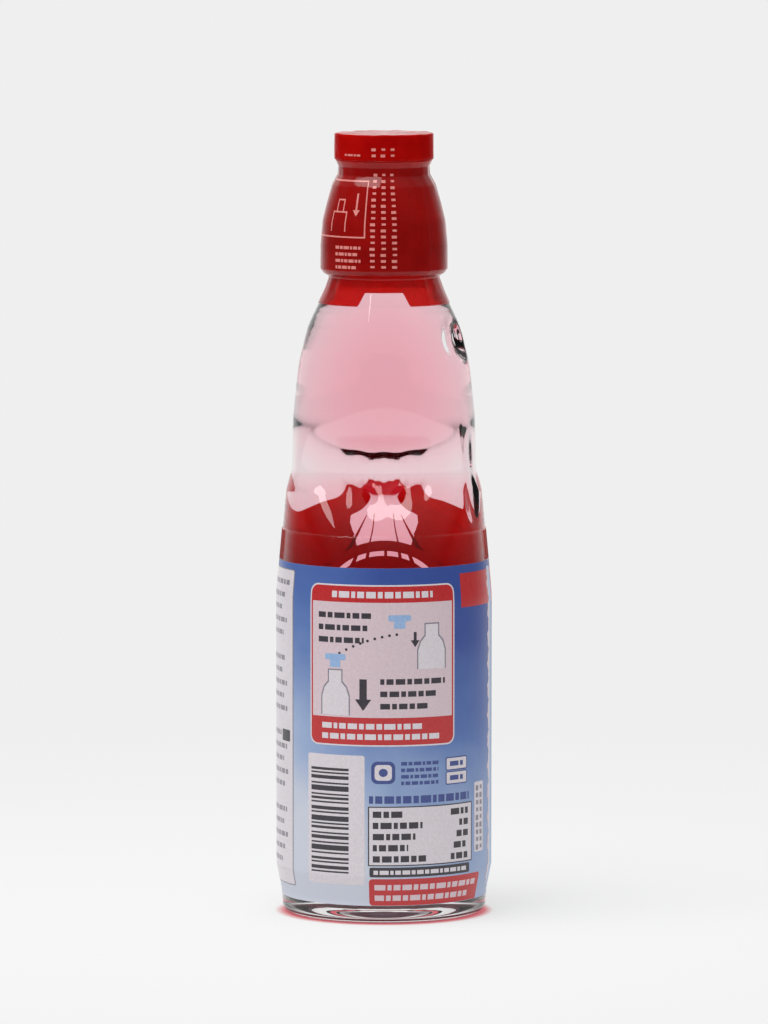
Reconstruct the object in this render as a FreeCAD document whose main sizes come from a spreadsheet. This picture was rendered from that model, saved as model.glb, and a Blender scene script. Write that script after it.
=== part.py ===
import FreeCAD, Part
import os
import re

import Sketcher

# Marble stopper bottle, full and still sealed.
# A pressed glass bottle of drink is stopped from inside by a glass marble.
# The marble is held up against a rubber gasket in the mouth by the gas in the drink.
# A screwed cap holds the gasket on the glass lip.
# A pusher and a spacer ring sit on the cap under a red film, ready to knock the marble down.
# Lengths are millimetres, the upright axis is +Z and the base stands on Z = 0.
# The catches that hold the marble while drinking look towards +X.

doc = FreeCAD.newDocument("marble_stopper_bottle")
sheet = doc.addObject("Spreadsheet::Sheet", "Sizes")

SIZES = [
    # Outside of the glass, from the foot up
    ("punt_rise", 3.0, "rise of the hollow under the base"),
    ("foot_wide", 5.9, "width of the foot outside the hollow"),
    ("heel_inset", 1.35, "how far the foot band lies inside the body"),
    ("heel_blend", 3.0, "rounding of the foot"),
    ("heel_tall", 6.0, "height of the narrow foot band"),
    ("heel_rise", 7.0, "height of the slope from foot band to body"),
    ("body_r", 28.75, "radius of the body under the label"),
    ("panel_tall", 73.5, "height of the straight body"),
    ("shoulder_low_inset", 1.55, "how far the long shoulder draws in at first"),
    ("shoulder_low_rise", 17.5, "height of the shoulder's first stretch"),
    ("shoulder_high_inset", 0.95, "how far the shoulder draws in up to the step"),
    ("shoulder_high_rise", 10.3, "height of the shoulder's second stretch"),
    ("step_inset", 1.45, "how far the step draws in"),
    ("step_rise", 5.3, "height of the step"),
    ("chamber_inset", 0.4, "how far the marble chamber tapers"),
    ("chamber_tall", 14.4, "height of the marble chamber's side"),
    ("dome_low_inset", 1.4, "how far the dome draws in at first"),
    ("dome_low_rise", 13.6, "height of the dome's first stretch"),
    ("dome_high_inset", 2.5, "how far the dome draws in next"),
    ("dome_high_rise", 10.3, "height of the dome's second stretch"),
    ("neck_root_rise", 10.3, "height from the dome to the root of the neck"),
    ("neck_root_over", 1.25, "how far the neck's root stands out past the collar"),
    ("neck_tall", 3.0, "height from the neck's root to the collar"),
    ("collar_tall", 2.2, "height of the neck collar"),
    ("finish_wall", 3.8, "thickness of the glass at the threaded mouth"),
    ("finish_tall", 20.6, "height of the threaded mouth above the collar"),
    ("lip_blend", 0.8, "rounding of the glass lip"),
    ("shoulder_blend", 16.0, "rounding along shoulder and dome"),
    ("step_blend", 3.0, "rounding of the step and the neck root"),
    # Inside of the glass
    ("wall", 4.8, "thickness of the glass, measured level"),
    ("neck_wall", 4.6, "thickness of the glass at the neck root"),
    ("floor_thick", 6.0, "thickness of the floor over the hollow"),
    ("floor_blend", 9.0, "rounding round the inside floor"),
    ("bore_rise", 4.3, "height from the neck's root to the bore"),
    ("overrun", 2.0, "how far a cutting shape passes the glass"),
    # The two pinches that stop the marble
    ("pinch_lift", 0.7, "height of the pinches above the foot of the step"),
    ("pinch_deep", 13.55, "depth of a pinch below the step's foot"),
    ("pinch_bend", 17.0, "radius of a pinch, seen from the side"),
    ("pinch_sweep", 24.0, "how much flatter a pinch is, seen from above"),
    ("pinch_wall", 5.5, "thickness of the glass at a pinch"),
    # The catches and the finger groove on the drinking side
    ("catch_drop", 1.9, "how far the marble catches lie below the dome's upper stretch"),
    ("catch_deep", 2.2, "depth of a catch"),
    ("catch_r", 7.3, "radius of a catch's hollow"),
    ("catch_wall", 3.4, "thickness of the glass at a catch"),
    ("catch_turn", 18.0, "degrees between +X and each catch"),
    ("groove_lift", 1.7, "height of the finger groove above the foot of the step"),
    ("groove_deep", 2.85, "depth of the finger groove"),
    ("groove_r", 36.5, "radius of the groove's hollow"),
    ("groove_turn", 15.0, "degrees from +X to the groove"),
    # The thread between glass and cap, left handed
    ("lead", 4.0, "rise in one turn"),
    ("rib_rise", 5.0, "height that a thread rib climbs"),
    ("rib_high", 1.15, "how far a rib stands out"),
    ("rib_root", 1.7, "thickness of a rib at its root"),
    ("rib_tip", 0.9, "thickness of a rib at its tip"),
    ("rib_bite", 0.4, "how far a rib is let into its wall"),
    ("rib_drop", 11.0, "how far below the lip the rib on the glass starts"),
    ("thread_room", 0.4, "room between a rib's tip and the wall it faces"),
    # Drink and marble
    ("drink_gap", 0.1, "room between drink and glass"),
    ("marble_r", 8.5, "radius of the marble"),
    ("marble_room", 0.8, "room between marble and neck bore"),
    ("seat_gap", 0.15, "room between marble and gasket"),
    # Gasket
    ("gasket_gap", 0.05, "room above and below the gasket"),
    ("gasket_inset", 0.3, "how far the gasket lies inside the mouth's rim"),
    ("gasket_lap", 1.1, "how far the marble is wider than the gasket's hole"),
    ("gasket_thick", 3.0, "thickness of the gasket"),
    ("gasket_seat", 1.2, "size of the slope that the marble seats on"),
    # Mouth cap
    ("collar_room", 0.3, "room between cap and collar"),
    ("collar_lap", 0.7, "how far the cap reaches down past the collar's top"),
    ("cap_wall", 2.2, "thickness of the cap's side"),
    ("cap_foot_bevel", 0.8, "slope round the lower edge of the cap"),
    ("lip_room", 0.3, "room between the cap and the side of the lip"),
    ("lip_grip", 2.8, "how far the cap's narrow part reaches down past the lip"),
    ("crown_thick", 3.9, "thickness of the cap over the gasket"),
    ("crown_rim", 0.7, "height of the rim of the cap's crown"),
    ("dome_side", 12.5, "how far the cap's straight side ends below its top"),
    ("dome_low_drop", 8.0, "depth of the cap's dome, low"),
    ("dome_low_in", 0.6, "how far the cap's dome draws in, low"),
    ("dome_high_drop", 4.4, "depth of the cap's dome, high"),
    ("dome_high_in", 1.9, "how far the cap's dome draws in, high"),
    ("crown_over", 0.3, "how far the crown is wider than the ring's foot"),
    ("mouth_lip", 0.4, "how far the cap's mouth is narrower than the gasket's hole"),
    ("cap_blend", 4.0, "rounding of the cap's dome"),
    # Spacer ring and pusher
    ("rest_gap", 0.05, "room between pieces that stand on each other"),
    ("ring_room", 3.5, "room between the pusher's stem and the spacer ring"),
    ("ring_wall", 2.75, "thickness of the spacer ring"),
    ("ring_foot_in", 0.85, "how far the ring's foot is narrower than the ring"),
    ("ring_slope", 1.95, "height of the slope under the ring"),
    ("ring_tall", 6.15, "height of the spacer ring"),
    ("disc_over", 0.15, "how far the pusher's disc is wider than the ring"),
    ("disc_thick", 2.5, "thickness of the pusher's disc"),
    ("disc_blend", 0.5, "rounding of the disc's edges"),
    ("stem_room", 0.5, "room between the pusher's stem and the cap's mouth"),
    ("stem_wall", 1.5, "thickness of the pusher's stem"),
    ("stem_gap", 0.45, "room between the pusher's stem and the marble"),
    # Red film, in a top that tears off and a skirt
    ("film", 0.2, "thickness of the red film as drawn"),
    ("film_gap", 0.1, "room under the red film"),
    ("top_film_gap", 0.25, "room between the film's top and the disc"),
    ("film_top_blend", 0.6, "rounding of the film's upper edge"),
    ("skirt_drop", 3.8, "how far the film reaches down past the neck's root"),
    ("tuck_drop", 1.2, "how far below the cap the film draws in"),
    ("notch_wide", 15.0, "width of a notch in the film's lower edge"),
    ("notch_top_wide", 12.6, "width of the notch at its top"),
    ("notch_high", 3.6, "height of a notch"),
    # Label sleeve
    ("label_film", 0.25, "thickness of the label as drawn"),
    ("label_gap", 0.05, "room between label and glass"),
    ("label_under", 2.0, "how far the label reaches down over the foot band"),
    ("label_over", 14.5, "how far the label reaches up over the shoulder"),
]

# Sizes that follow from the ones above
FOLLOWING = {
    # Outside of the glass, radii and heights
    "heel_r": "body_r - heel_inset",
    "punt_r": "heel_r - foot_wide",
    "shoulder_low_r": "body_r - shoulder_low_inset",
    "step_foot_r": "shoulder_low_r - shoulder_high_inset",
    "step_top_r": "step_foot_r - step_inset",
    "chamber_r": "step_top_r - chamber_inset",
    "dome_low_r": "chamber_r - dome_low_inset",
    "dome_high_r": "dome_low_r - dome_high_inset",
    "collar_r": "cap_inner_r - collar_room",
    "neck_root_r": "collar_r + neck_root_over",
    "panel_foot_z": "heel_tall + heel_rise",
    "panel_top_z": "panel_foot_z + panel_tall",
    "shoulder_low_z": "panel_top_z + shoulder_low_rise",
    "step_foot_z": "shoulder_low_z + shoulder_high_rise",
    "step_top_z": "step_foot_z + step_rise",
    "chamber_z": "step_top_z + chamber_tall",
    "dome_low_z": "chamber_z + dome_low_rise",
    "dome_high_z": "dome_low_z + dome_high_rise",
    "neck_root_z": "dome_high_z + neck_root_rise",
    "collar_foot_z": "neck_root_z + neck_tall",
    "collar_top_z": "collar_foot_z + collar_tall",
    "lip_z": "collar_top_z + finish_tall",
    # Inside of the glass
    "floor_z": "punt_rise + floor_thick",
    "bore_r": "marble_r + marble_room",
    "finish_r": "marble_r + (marble_room + finish_wall)",
    "bore_foot_z": "neck_root_z + bore_rise",
    # Pinches, catches and groove
    "pinch_z": "step_foot_z + pinch_lift",
    "pinch_near": "step_foot_r - pinch_deep",
    "catch_z": "dome_high_z - catch_drop",
    "catch_off": "dome_high_r - catch_deep + catch_r",
    "groove_z": "step_foot_z + groove_lift",
    "groove_near": "step_foot_r - groove_deep",
    "rib_z": "lip_z - rib_drop",
    # Gasket and marble
    "gasket_r": "finish_r - gasket_inset",
    "gasket_bore_r": "marble_r - gasket_lap",
    "gasket_z": "lip_z + gasket_gap",
    "gasket_top_z": "gasket_z + gasket_thick",
    "seat_z": "gasket_z + gasket_seat",
    "marble_z": "seat_z - sqrt((marble_r + seat_gap)^2 - gasket_bore_r^2)",
    # Mouth cap
    "cap_inner_r": "finish_r + rib_high + thread_room",
    "cap_r": "cap_inner_r + cap_wall",
    "cap_upper_r": "finish_r + lip_room",
    "cap_upper_z": "lip_z - lip_grip",
    "cap_foot_z": "collar_top_z - collar_lap",
    "ceiling_z": "gasket_top_z + gasket_gap",
    "cap_top_z": "ceiling_z + crown_thick",
    "cap_side_z": "cap_top_z - dome_side",
    "cap_dome_low_r": "cap_r - dome_low_in",
    "cap_dome_low_z": "cap_top_z - dome_low_drop",
    "cap_dome_high_r": "cap_r - dome_high_in",
    "cap_dome_high_z": "cap_top_z - dome_high_drop",
    "cap_crown_r": "ring_foot_r + crown_over",
    "cap_crown_z": "cap_top_z - crown_rim",
    "cap_rib_z": "rib_z - lead / 2",
    "mouth_r": "gasket_bore_r - mouth_lip",
    # Spacer ring and pusher
    "stem_r": "mouth_r - stem_room",
    "stem_bore_r": "stem_r - stem_wall",
    "stem_z": "marble_z + sqrt((marble_r + stem_gap)^2 - stem_bore_r^2)",
    "ring_bore_r": "stem_r + ring_room",
    "ring_r": "ring_bore_r + ring_wall",
    "ring_foot_r": "ring_r - ring_foot_in",
    "ring_z": "cap_top_z + rest_gap",
    "ring_top_z": "ring_z + ring_tall",
    "disc_r": "ring_r + disc_over",
    "disc_z": "ring_top_z + rest_gap",
    "disc_top_z": "disc_z + disc_thick",
    # Red film
    "tear_z": "ring_z + ring_slope",
    "film_r": "disc_r + top_film_gap",
    "film_z": "disc_top_z + film_gap",
    "skirt_foot_z": "neck_root_z - skirt_drop",
    "skirt_foot_over": "skirt_drop * (dome_high_r - neck_root_r) / neck_root_rise",
    # Label sleeve
    "label_foot_z": "heel_tall - label_under",
    "label_top_z": "panel_top_z + label_over",
    "label_top_in": "shoulder_low_inset * label_over / shoulder_low_rise",
}

for line, (name, value, meaning) in enumerate(SIZES, start=1):
    sheet.set("A%d" % line, name)
    sheet.set("B%d" % line, str(value))
    sheet.setAlias("B%d" % line, name)
    sheet.set("C%d" % line, meaning)
NAMES = {name for name, value, meaning in SIZES}
doc.recompute()

NOTCHES = 3
FULL_TURN = 360


def sized(words):
    """An expression in which each size is read from the sheet."""
    def read(found):
        name = found.group()
        if name in FOLLOWING:
            return "(%s)" % sized(FOLLOWING[name])
        return "Sizes." + name if name in NAMES else name
    return re.sub(r"[a-z_]+", read, words)


def size(words):
    """The present value of an expression of sizes."""
    return float(sheet.evalExpression(sized(words)))


def drive(thing, setting, words):
    """Bind one setting of a feature to the sheet."""
    thing.setExpression(setting, sized(words))


def plane(body, role):
    """One of a body's own origin planes."""
    return next(f for f in body.Origin.OriginFeatures if f.Role == role)


def new_sketch(body, name, role="XZ_Plane"):
    """An empty sketch on one of the body's origin planes."""
    sketch = body.newObject("Sketcher::SketchObject", name)
    sketch.AttachmentSupport = [(plane(body, role), "")]
    sketch.MapMode = "FlatFace"
    return sketch


def draw(sketch, corners):
    """Close a chain of lines through corners, whose two expressions are across and up."""
    count = len(corners)
    start = [FreeCAD.Vector(count + n, count - n, 0) for n in range(count)]
    lines = [Part.LineSegment(start[n], start[(n + 1) % count]) for n in range(count)]
    sketch.addGeometry(lines, False)
    for n in range(count):
        sketch.addConstraint(Sketcher.Constraint("Coincident", n, 2, (n + 1) % count, 1))
    for n, (across, up) in enumerate(corners):
        for axis, words, here in (("DistanceX", across, start[n].x), ("DistanceY", up, start[n].y)):
            at = sketch.addConstraint(Sketcher.Constraint(axis, -1, 1, n, 1, here))
            sketch.renameConstraint(at, "%s_%d" % (axis, n))
            drive(sketch, "Constraints.%s_%d" % (axis, n), words)
    doc.recompute()


def turn(body, name, corners):
    """Turn an outline of radius and height round the body's upright axis."""
    sketch = new_sketch(body, name + "_outline")
    draw(sketch, corners)
    feature = body.newObject("PartDesign::Revolution", name)
    feature.Profile = sketch
    feature.ReferenceAxis = (sketch, ["V_Axis"])
    feature.Angle = FULL_TURN
    sketch.Visibility = False
    doc.recompute()
    return feature


def rims(feature, places):
    """Names of the circular edges at the given radii and heights, less than half a resting gap off."""
    close = size("rest_gap") / 2
    wanted = [(size(radius), size(height)) for radius, height in places]
    found = []
    for n, edge in enumerate(feature.Shape.Edges, start=1):
        curve = edge.Curve
        if not isinstance(curve, Part.Circle):
            continue
        for radius, height in wanted:
            if abs(curve.Radius - radius) < close and abs(curve.Center.z - height) < close:
                found.append("Edge%d" % n)
    return found


def soften(body, name, radius, places):
    """Round the circular edges at the given places of the body's last feature."""
    base = body.Tip
    feature = body.newObject("PartDesign::Fillet", name)
    feature.Base = (base, rims(base, places))
    drive(feature, "Radius", radius)
    doc.recompute()
    return feature


def new_body(name):
    """An empty body that carries the piece's name."""
    body = doc.addObject("PartDesign::Body", name)
    body.Label = name
    return body


def rib(body, name, corners):
    """Wind a thread rib of the given section round the body's upright axis."""
    sketch = new_sketch(body, name + "_section")
    draw(sketch, corners)
    feature = body.newObject("PartDesign::AdditiveHelix", name)
    feature.Profile = sketch
    feature.ReferenceAxis = (sketch, ["V_Axis"])
    feature.Mode = "pitch-height-angle"
    feature.LeftHanded = True
    drive(feature, "Pitch", "lead")
    drive(feature, "Height", "rib_rise")
    sketch.Visibility = False
    doc.recompute()
    return feature


def place(thing, off, height, bearing):
    """Set a shape off the axis; bearing is its direction in degrees from +X."""
    drive(thing, "Placement.Base.x", "(%s) * cos(%s)" % (off, bearing))
    drive(thing, "Placement.Base.y", "(%s) * sin(%s)" % (off, bearing))
    drive(thing, "Placement.Base.z", height)
    doc.recompute()
    return thing


def ball(name, radius, off, height, bearing):
    """A ball that cuts a round hollow."""
    shape = doc.addObject("Part::Sphere", name)
    drive(shape, "Radius", radius)
    return place(shape, off, height, bearing)


def pinch(name, growth, bearing):
    """A ring whose round side presses a wide hollow, or raises its bump if it has grown."""
    shape = doc.addObject("Part::Torus", name)
    drive(shape, "Radius1", "pinch_sweep")
    drive(shape, "Radius2", "pinch_bend + " + growth)
    return place(shape, "pinch_near + pinch_bend + pinch_sweep", "pinch_z", bearing)


def carve(name, base, tools):
    """Take tools away from base."""
    for n, tool in enumerate(tools):
        cut = doc.addObject("Part::Cut", "%s_%d" % (name, n) if n < len(tools) - 1 else name)
        cut.Base = base
        cut.Tool = tool
        base = cut
    doc.recompute()
    return base


# Outside of the glass, with its thread rib
outside = new_body("glass_outside")
turn(outside, "glass_outline", [
    ("0", "punt_rise"),
    ("punt_r", "0"),
    ("heel_r", "0"),
    ("heel_r", "heel_tall"),
    ("body_r", "panel_foot_z"),
    ("body_r", "panel_top_z"),
    ("shoulder_low_r", "shoulder_low_z"),
    ("step_foot_r", "step_foot_z"),
    ("step_top_r", "step_top_z"),
    ("chamber_r", "chamber_z"),
    ("dome_low_r", "dome_low_z"),
    ("dome_high_r", "dome_high_z"),
    ("neck_root_r", "neck_root_z"),
    ("collar_r", "collar_foot_z"),
    ("collar_r", "collar_top_z"),
    ("finish_r", "collar_top_z + collar_r - finish_r"),
    ("finish_r", "lip_z"),
    ("0", "lip_z"),
])
soften(outside, "heel_rounding", "heel_blend", [
    ("heel_r", "0"),
    ("heel_r", "heel_tall"),
    ("body_r", "panel_foot_z"),
])
soften(outside, "shoulder_rounding", "shoulder_blend", [
    ("body_r", "panel_top_z"),
    ("shoulder_low_r", "shoulder_low_z"),
    ("chamber_r", "chamber_z"),
    ("dome_low_r", "dome_low_z"),
    ("dome_high_r", "dome_high_z"),
])
soften(outside, "step_rounding", "step_blend", [
    ("step_foot_r", "step_foot_z"),
    ("step_top_r", "step_top_z"),
    ("neck_root_r", "neck_root_z"),
])
soften(outside, "lip_rounding", "lip_blend", [("finish_r", "lip_z")])
rib(outside, "glass_thread", [
    ("finish_r - rib_bite", "rib_z - rib_root / 2"),
    ("finish_r + rib_high", "rib_z - rib_tip / 2"),
    ("finish_r + rib_high", "rib_z + rib_tip / 2"),
    ("finish_r - rib_bite", "rib_z + rib_root / 2"),
])


def inside(name, gap, top):
    """The room in the glass below the neck bore, less a gap all round, then the corners in top."""
    body = new_body(name)
    turn(body, name + "_outline", [
        ("0", "floor_z + " + gap),
        ("body_r - wall - " + gap, "floor_z + " + gap),
        ("body_r - wall - " + gap, "panel_top_z"),
        ("shoulder_low_r - wall - " + gap, "shoulder_low_z"),
        ("step_foot_r - wall - " + gap, "step_foot_z"),
        ("step_top_r - wall - " + gap, "step_top_z"),
        ("chamber_r - wall - " + gap, "chamber_z"),
        ("dome_low_r - wall - " + gap, "dome_low_z"),
        ("dome_high_r - wall - " + gap, "dome_high_z"),
        ("neck_root_r - neck_wall - " + gap, "neck_root_z"),
        ("bore_r - " + gap, "bore_foot_z"),
    ] + top)
    soften(body, name + "_floor_rounding", "floor_blend", [("body_r - wall - " + gap, "floor_z + " + gap)])
    soften(body, name + "_rounding", "step_blend", [
        ("body_r - wall - " + gap, "panel_top_z"),
        ("shoulder_low_r - wall - " + gap, "shoulder_low_z"),
        ("step_foot_r - wall - " + gap, "step_foot_z"),
        ("step_top_r - wall - " + gap, "step_top_z"),
        ("chamber_r - wall - " + gap, "chamber_z"),
        ("dome_low_r - wall - " + gap, "dome_low_z"),
        ("dome_high_r - wall - " + gap, "dome_high_z"),
        ("neck_root_r - neck_wall - " + gap, "neck_root_z"),
    ])
    return body


BOTH_WAYS = ("-90", "90")
BOTH_CATCHES = ("-catch_turn", "catch_turn")


def bumps(name, gap):
    """The bumps that pinches and catches raise inside the glass, grown by a gap."""
    shapes = [
        pinch("%s_pinch_%d" % (name, n), "pinch_wall + " + gap, bearing)
        for n, bearing in enumerate(BOTH_WAYS)
    ]
    grown = "catch_r + catch_wall + " + gap
    return shapes + [
        ball("%s_catch_%d" % (name, n), grown, "catch_off", "catch_z", bearing)
        for n, bearing in enumerate(BOTH_CATCHES)
    ]


# Hollows pressed into the outside of the glass
pinches = [pinch("pinch_%d" % n, "0", bearing) for n, bearing in enumerate(BOTH_WAYS)]
catches = [
    ball("catch_%d" % n, "catch_r", "catch_off", "catch_z", bearing)
    for n, bearing in enumerate(BOTH_CATCHES)
]
groove = ball("finger_groove", "groove_r", "groove_near + groove_r", "groove_z", "-groove_turn")
dented = carve("glass_dented", outside, [groove] + pinches + catches)

# The glass bottle
room = inside("glass_room", "0", [
    ("bore_r", "lip_z + overrun"),
    ("0", "lip_z + overrun"),
])
room = carve("glass_room_dented", room, bumps("room", "0"))
glass = carve("glass_bottle", dented, [room])

# The drink, which fills the glass up to the neck bore
drink = inside("drink_room", "drink_gap", [("0", "bore_foot_z")])
drink = carve("drink", drink, bumps("drink", "drink_gap"))

# The marble, up against the gasket
marble = doc.addObject("Part::Sphere", "marble")
drive(marble, "Radius", "marble_r")
drive(marble, "Placement.Base.z", "marble_z")

# The gasket, flat on the glass lip
gasket = new_body("gasket")
turn(gasket, "gasket_outline", [
    ("gasket_bore_r", "seat_z"),
    ("gasket_bore_r + gasket_seat", "gasket_z"),
    ("gasket_r", "gasket_z"),
    ("gasket_r", "gasket_top_z"),
    ("gasket_bore_r", "gasket_top_z"),
])

# The cap, screwed down on the gasket
cap = new_body("mouth_cap")
turn(cap, "cap_outline", [
    ("cap_inner_r", "cap_foot_z"),
    ("cap_r - cap_foot_bevel", "cap_foot_z"),
    ("cap_r", "cap_foot_z + cap_foot_bevel"),
    ("cap_r", "cap_side_z"),
    ("cap_dome_low_r", "cap_dome_low_z"),
    ("cap_dome_high_r", "cap_dome_high_z"),
    ("cap_crown_r", "cap_crown_z"),
    ("cap_crown_r", "cap_top_z"),
    ("mouth_r", "cap_top_z"),
    ("mouth_r", "ceiling_z"),
    ("cap_upper_r", "ceiling_z"),
    ("cap_upper_r", "cap_upper_z"),
    ("cap_inner_r", "cap_upper_z - cap_inner_r + cap_upper_r"),
])
soften(cap, "cap_rounding", "cap_blend", [
    ("cap_r", "cap_side_z"),
    ("cap_dome_low_r", "cap_dome_low_z"),
    ("cap_dome_high_r", "cap_dome_high_z"),
])
rib(cap, "cap_thread", [
    ("cap_inner_r + rib_bite", "cap_rib_z - rib_root / 2"),
    ("cap_inner_r - rib_high", "cap_rib_z - rib_tip / 2"),
    ("cap_inner_r - rib_high", "cap_rib_z + rib_tip / 2"),
    ("cap_inner_r + rib_bite", "cap_rib_z + rib_root / 2"),
])

# The spacer ring that keeps the pusher from going down
ring = new_body("spacer_ring")
turn(ring, "ring_outline", [
    ("ring_bore_r", "ring_z"),
    ("ring_foot_r", "ring_z"),
    ("ring_r", "tear_z"),
    ("ring_r", "ring_top_z"),
    ("ring_bore_r", "ring_top_z"),
])

# The pusher, its stem standing in the mouth over the marble
pusher = new_body("pusher")
turn(pusher, "pusher_outline", [
    ("0", "disc_z"),
    ("stem_bore_r", "disc_z"),
    ("stem_bore_r", "stem_z"),
    ("stem_r", "stem_z"),
    ("stem_r", "disc_z"),
    ("disc_r", "disc_z"),
    ("disc_r", "disc_top_z"),
    ("0", "disc_top_z"),
])
soften(pusher, "disc_rounding", "disc_blend", [
    ("disc_r", "disc_top_z"),
    ("disc_r", "disc_z"),
])

# The top of the red film, which tears off first
seal_top = new_body("seal_top")
turn(seal_top, "seal_top_outline", [
    ("0", "film_z"),
    ("film_r", "film_z"),
    ("film_r", "tear_z"),
    ("film_r + film", "tear_z"),
    ("film_r + film", "film_z + film"),
    ("0", "film_z + film"),
])
soften(seal_top, "seal_top_rounding", "film_top_blend", [
    ("film_r + film", "film_z + film"),
])

# The skirt of the red film, from the tear down over the cap to the neck
SKIRT = [
    ("ring_r + 2 * film_gap", "tear_z - film_gap"),
    ("cap_crown_r + film_gap", "cap_top_z"),
    ("cap_crown_r + film_gap", "cap_crown_z"),
    ("cap_dome_high_r + film_gap", "cap_dome_high_z"),
    ("cap_dome_low_r + film_gap", "cap_dome_low_z"),
    ("cap_r + film_gap", "cap_side_z"),
    ("cap_r + film_gap", "cap_foot_z + cap_foot_bevel"),
    ("cap_r - cap_foot_bevel + film_gap", "cap_foot_z - film_gap"),
    ("collar_r + film_gap", "cap_foot_z - tuck_drop"),
    ("neck_root_r + 2 * film_gap", "neck_root_z + film_gap"),
    ("neck_root_r + skirt_foot_over + film_gap", "skirt_foot_z"),
]
skirt = new_body("seal_skirt")
turn(skirt, "seal_skirt_outline", SKIRT + [(across + " + film", up) for across, up in reversed(SKIRT)])
notch = new_sketch(skirt, "notch_outline")
draw(notch, [
    ("-notch_wide / 2", "skirt_foot_z - notch_high"),
    ("notch_wide / 2", "skirt_foot_z - notch_high"),
    ("notch_top_wide / 2", "skirt_foot_z + notch_high"),
    ("-notch_top_wide / 2", "skirt_foot_z + notch_high"),
])
pocket = skirt.newObject("PartDesign::Pocket", "notch")
pocket.Profile = notch
pocket.Type = "Length"
drive(pocket, "Length", "2 * cap_r")
pocket.Reversed = True
notch.Visibility = False
doc.recompute()
notches = skirt.newObject("PartDesign::PolarPattern", "notches")
notches.Originals = [pocket]
notches.Axis = (notch, ["V_Axis"])
notches.Angle = FULL_TURN
notches.Occurrences = NOTCHES
skirt.Tip = notches
doc.recompute()

# The printed sleeve, shrunk on the body and the foot of the shoulder
label = new_body("body_label")
LABEL = [
    ("heel_r + label_gap", "label_foot_z"),
    ("heel_r + label_gap", "heel_tall"),
    ("body_r + label_gap", "panel_foot_z"),
    ("body_r + label_gap", "panel_top_z"),
    ("body_r + label_gap - label_top_in", "label_top_z"),
]
turn(label, "label_outline", LABEL + [(across + " + label_film", up) for across, up in reversed(LABEL)])

# Every piece is one sound solid before it is written out
PIECES = [glass, drink, marble, gasket, cap, ring, pusher, seal_top, skirt, label]
doc.recompute()
for thing in doc.Objects:
    if "Invalid" in thing.State or "Error" in thing.State:
        raise RuntimeError("%s is not sound: %s" % (thing.Label, thing.State))
os.makedirs("parts", exist_ok=True)
for piece in PIECES:
    shape = piece.Shape
    if shape.isNull() or not shape.isValid() or len(shape.Solids) != 1:
        raise RuntimeError("%s is not one sound solid" % piece.Label)
    shape.exportStep("parts/%s.step" % piece.Label)
    print("%-14s %10.1f cubic millimetres" % (piece.Label, shape.Volume))
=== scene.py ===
"""The looks of the marble stopper bottle, built round its solids. Shapes are in millimetres until meshed."""

import math

import bpy
import numpy as np
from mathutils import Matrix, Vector


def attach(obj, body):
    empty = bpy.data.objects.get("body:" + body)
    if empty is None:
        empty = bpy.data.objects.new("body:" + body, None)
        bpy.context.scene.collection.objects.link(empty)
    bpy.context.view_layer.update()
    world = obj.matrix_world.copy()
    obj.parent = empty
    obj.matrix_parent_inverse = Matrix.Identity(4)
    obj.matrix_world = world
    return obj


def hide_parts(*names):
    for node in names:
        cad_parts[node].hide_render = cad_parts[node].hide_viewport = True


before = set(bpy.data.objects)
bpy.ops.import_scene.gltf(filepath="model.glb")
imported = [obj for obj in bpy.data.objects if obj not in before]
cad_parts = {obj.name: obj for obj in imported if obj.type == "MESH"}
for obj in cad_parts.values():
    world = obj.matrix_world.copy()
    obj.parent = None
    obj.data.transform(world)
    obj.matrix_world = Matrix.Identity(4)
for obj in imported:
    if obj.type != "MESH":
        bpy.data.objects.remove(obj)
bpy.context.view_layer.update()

MM = 0.001
TURNS = 256                     # edges round a turned piece
ANGLES = np.arange(TURNS) * 2 * math.pi / TURNS
FRONT = -math.pi / 2            # the side that faces the camera


# Colours and nodes

def linear(colour):
    """An sRGB hex colour as linear red, green, blue and alpha."""
    shares = [int(colour[n:n + 2], 16) / 255 for n in (1, 3, 5)]
    return [s / 12.92 if s <= 0.04045 else ((s + 0.055) / 1.055) ** 2.4 for s in shares] + [1.0]


def add(tree, kind, settings=None, links=None):
    """Add a node with its settings, socket values and links. stops are (place, hex colour) along a ramp."""
    node = tree.nodes.new("ShaderNode" + kind)
    for name, value in (settings or {}).items():
        if name == "stops":
            ends = node.color_ramp.elements
            ends[0].position, ends[0].color = value[0][0], linear(value[0][1])
            ends[1].position, ends[1].color = value[-1][0], linear(value[-1][1])
            for place, colour in value[1:-1]:
                ends.new(place).color = linear(colour)
        elif isinstance(name, int) or name in node.inputs:
            node.inputs[name].default_value = value
        else:
            setattr(node, name, value)
    for name, source in (links or {}).items():
        socket = source.outputs[0] if isinstance(source, bpy.types.Node) else source
        tree.links.new(socket, node.inputs[name])
    return node


def new_finish(name):
    """An empty material, its node tree and the place on the object that its patterns follow."""
    material = bpy.data.materials.new(name)
    material.use_nodes = True
    tree = material.node_tree
    tree.nodes.clear()
    return material, tree, add(tree, "TexCoord").outputs["Object"]


def per_mm(size):
    """The scale that gives a pattern lumps of this size in millimetres."""
    return 1 / (size * MM)


def uneven(tree, place, size, depth, detail=1.0):
    """The normal of a surface with lumps of this size and depth in millimetres."""
    lumps = add(tree, "TexNoise", {"Scale": per_mm(size), "Detail": detail}, {"Vector": place})
    return add(tree, "Bump", {"Distance": depth * MM}, {"Height": lumps})


# Glass and drink

GLASS_INDEX, DRINK_INDEX = 1.52, 1.34


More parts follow.
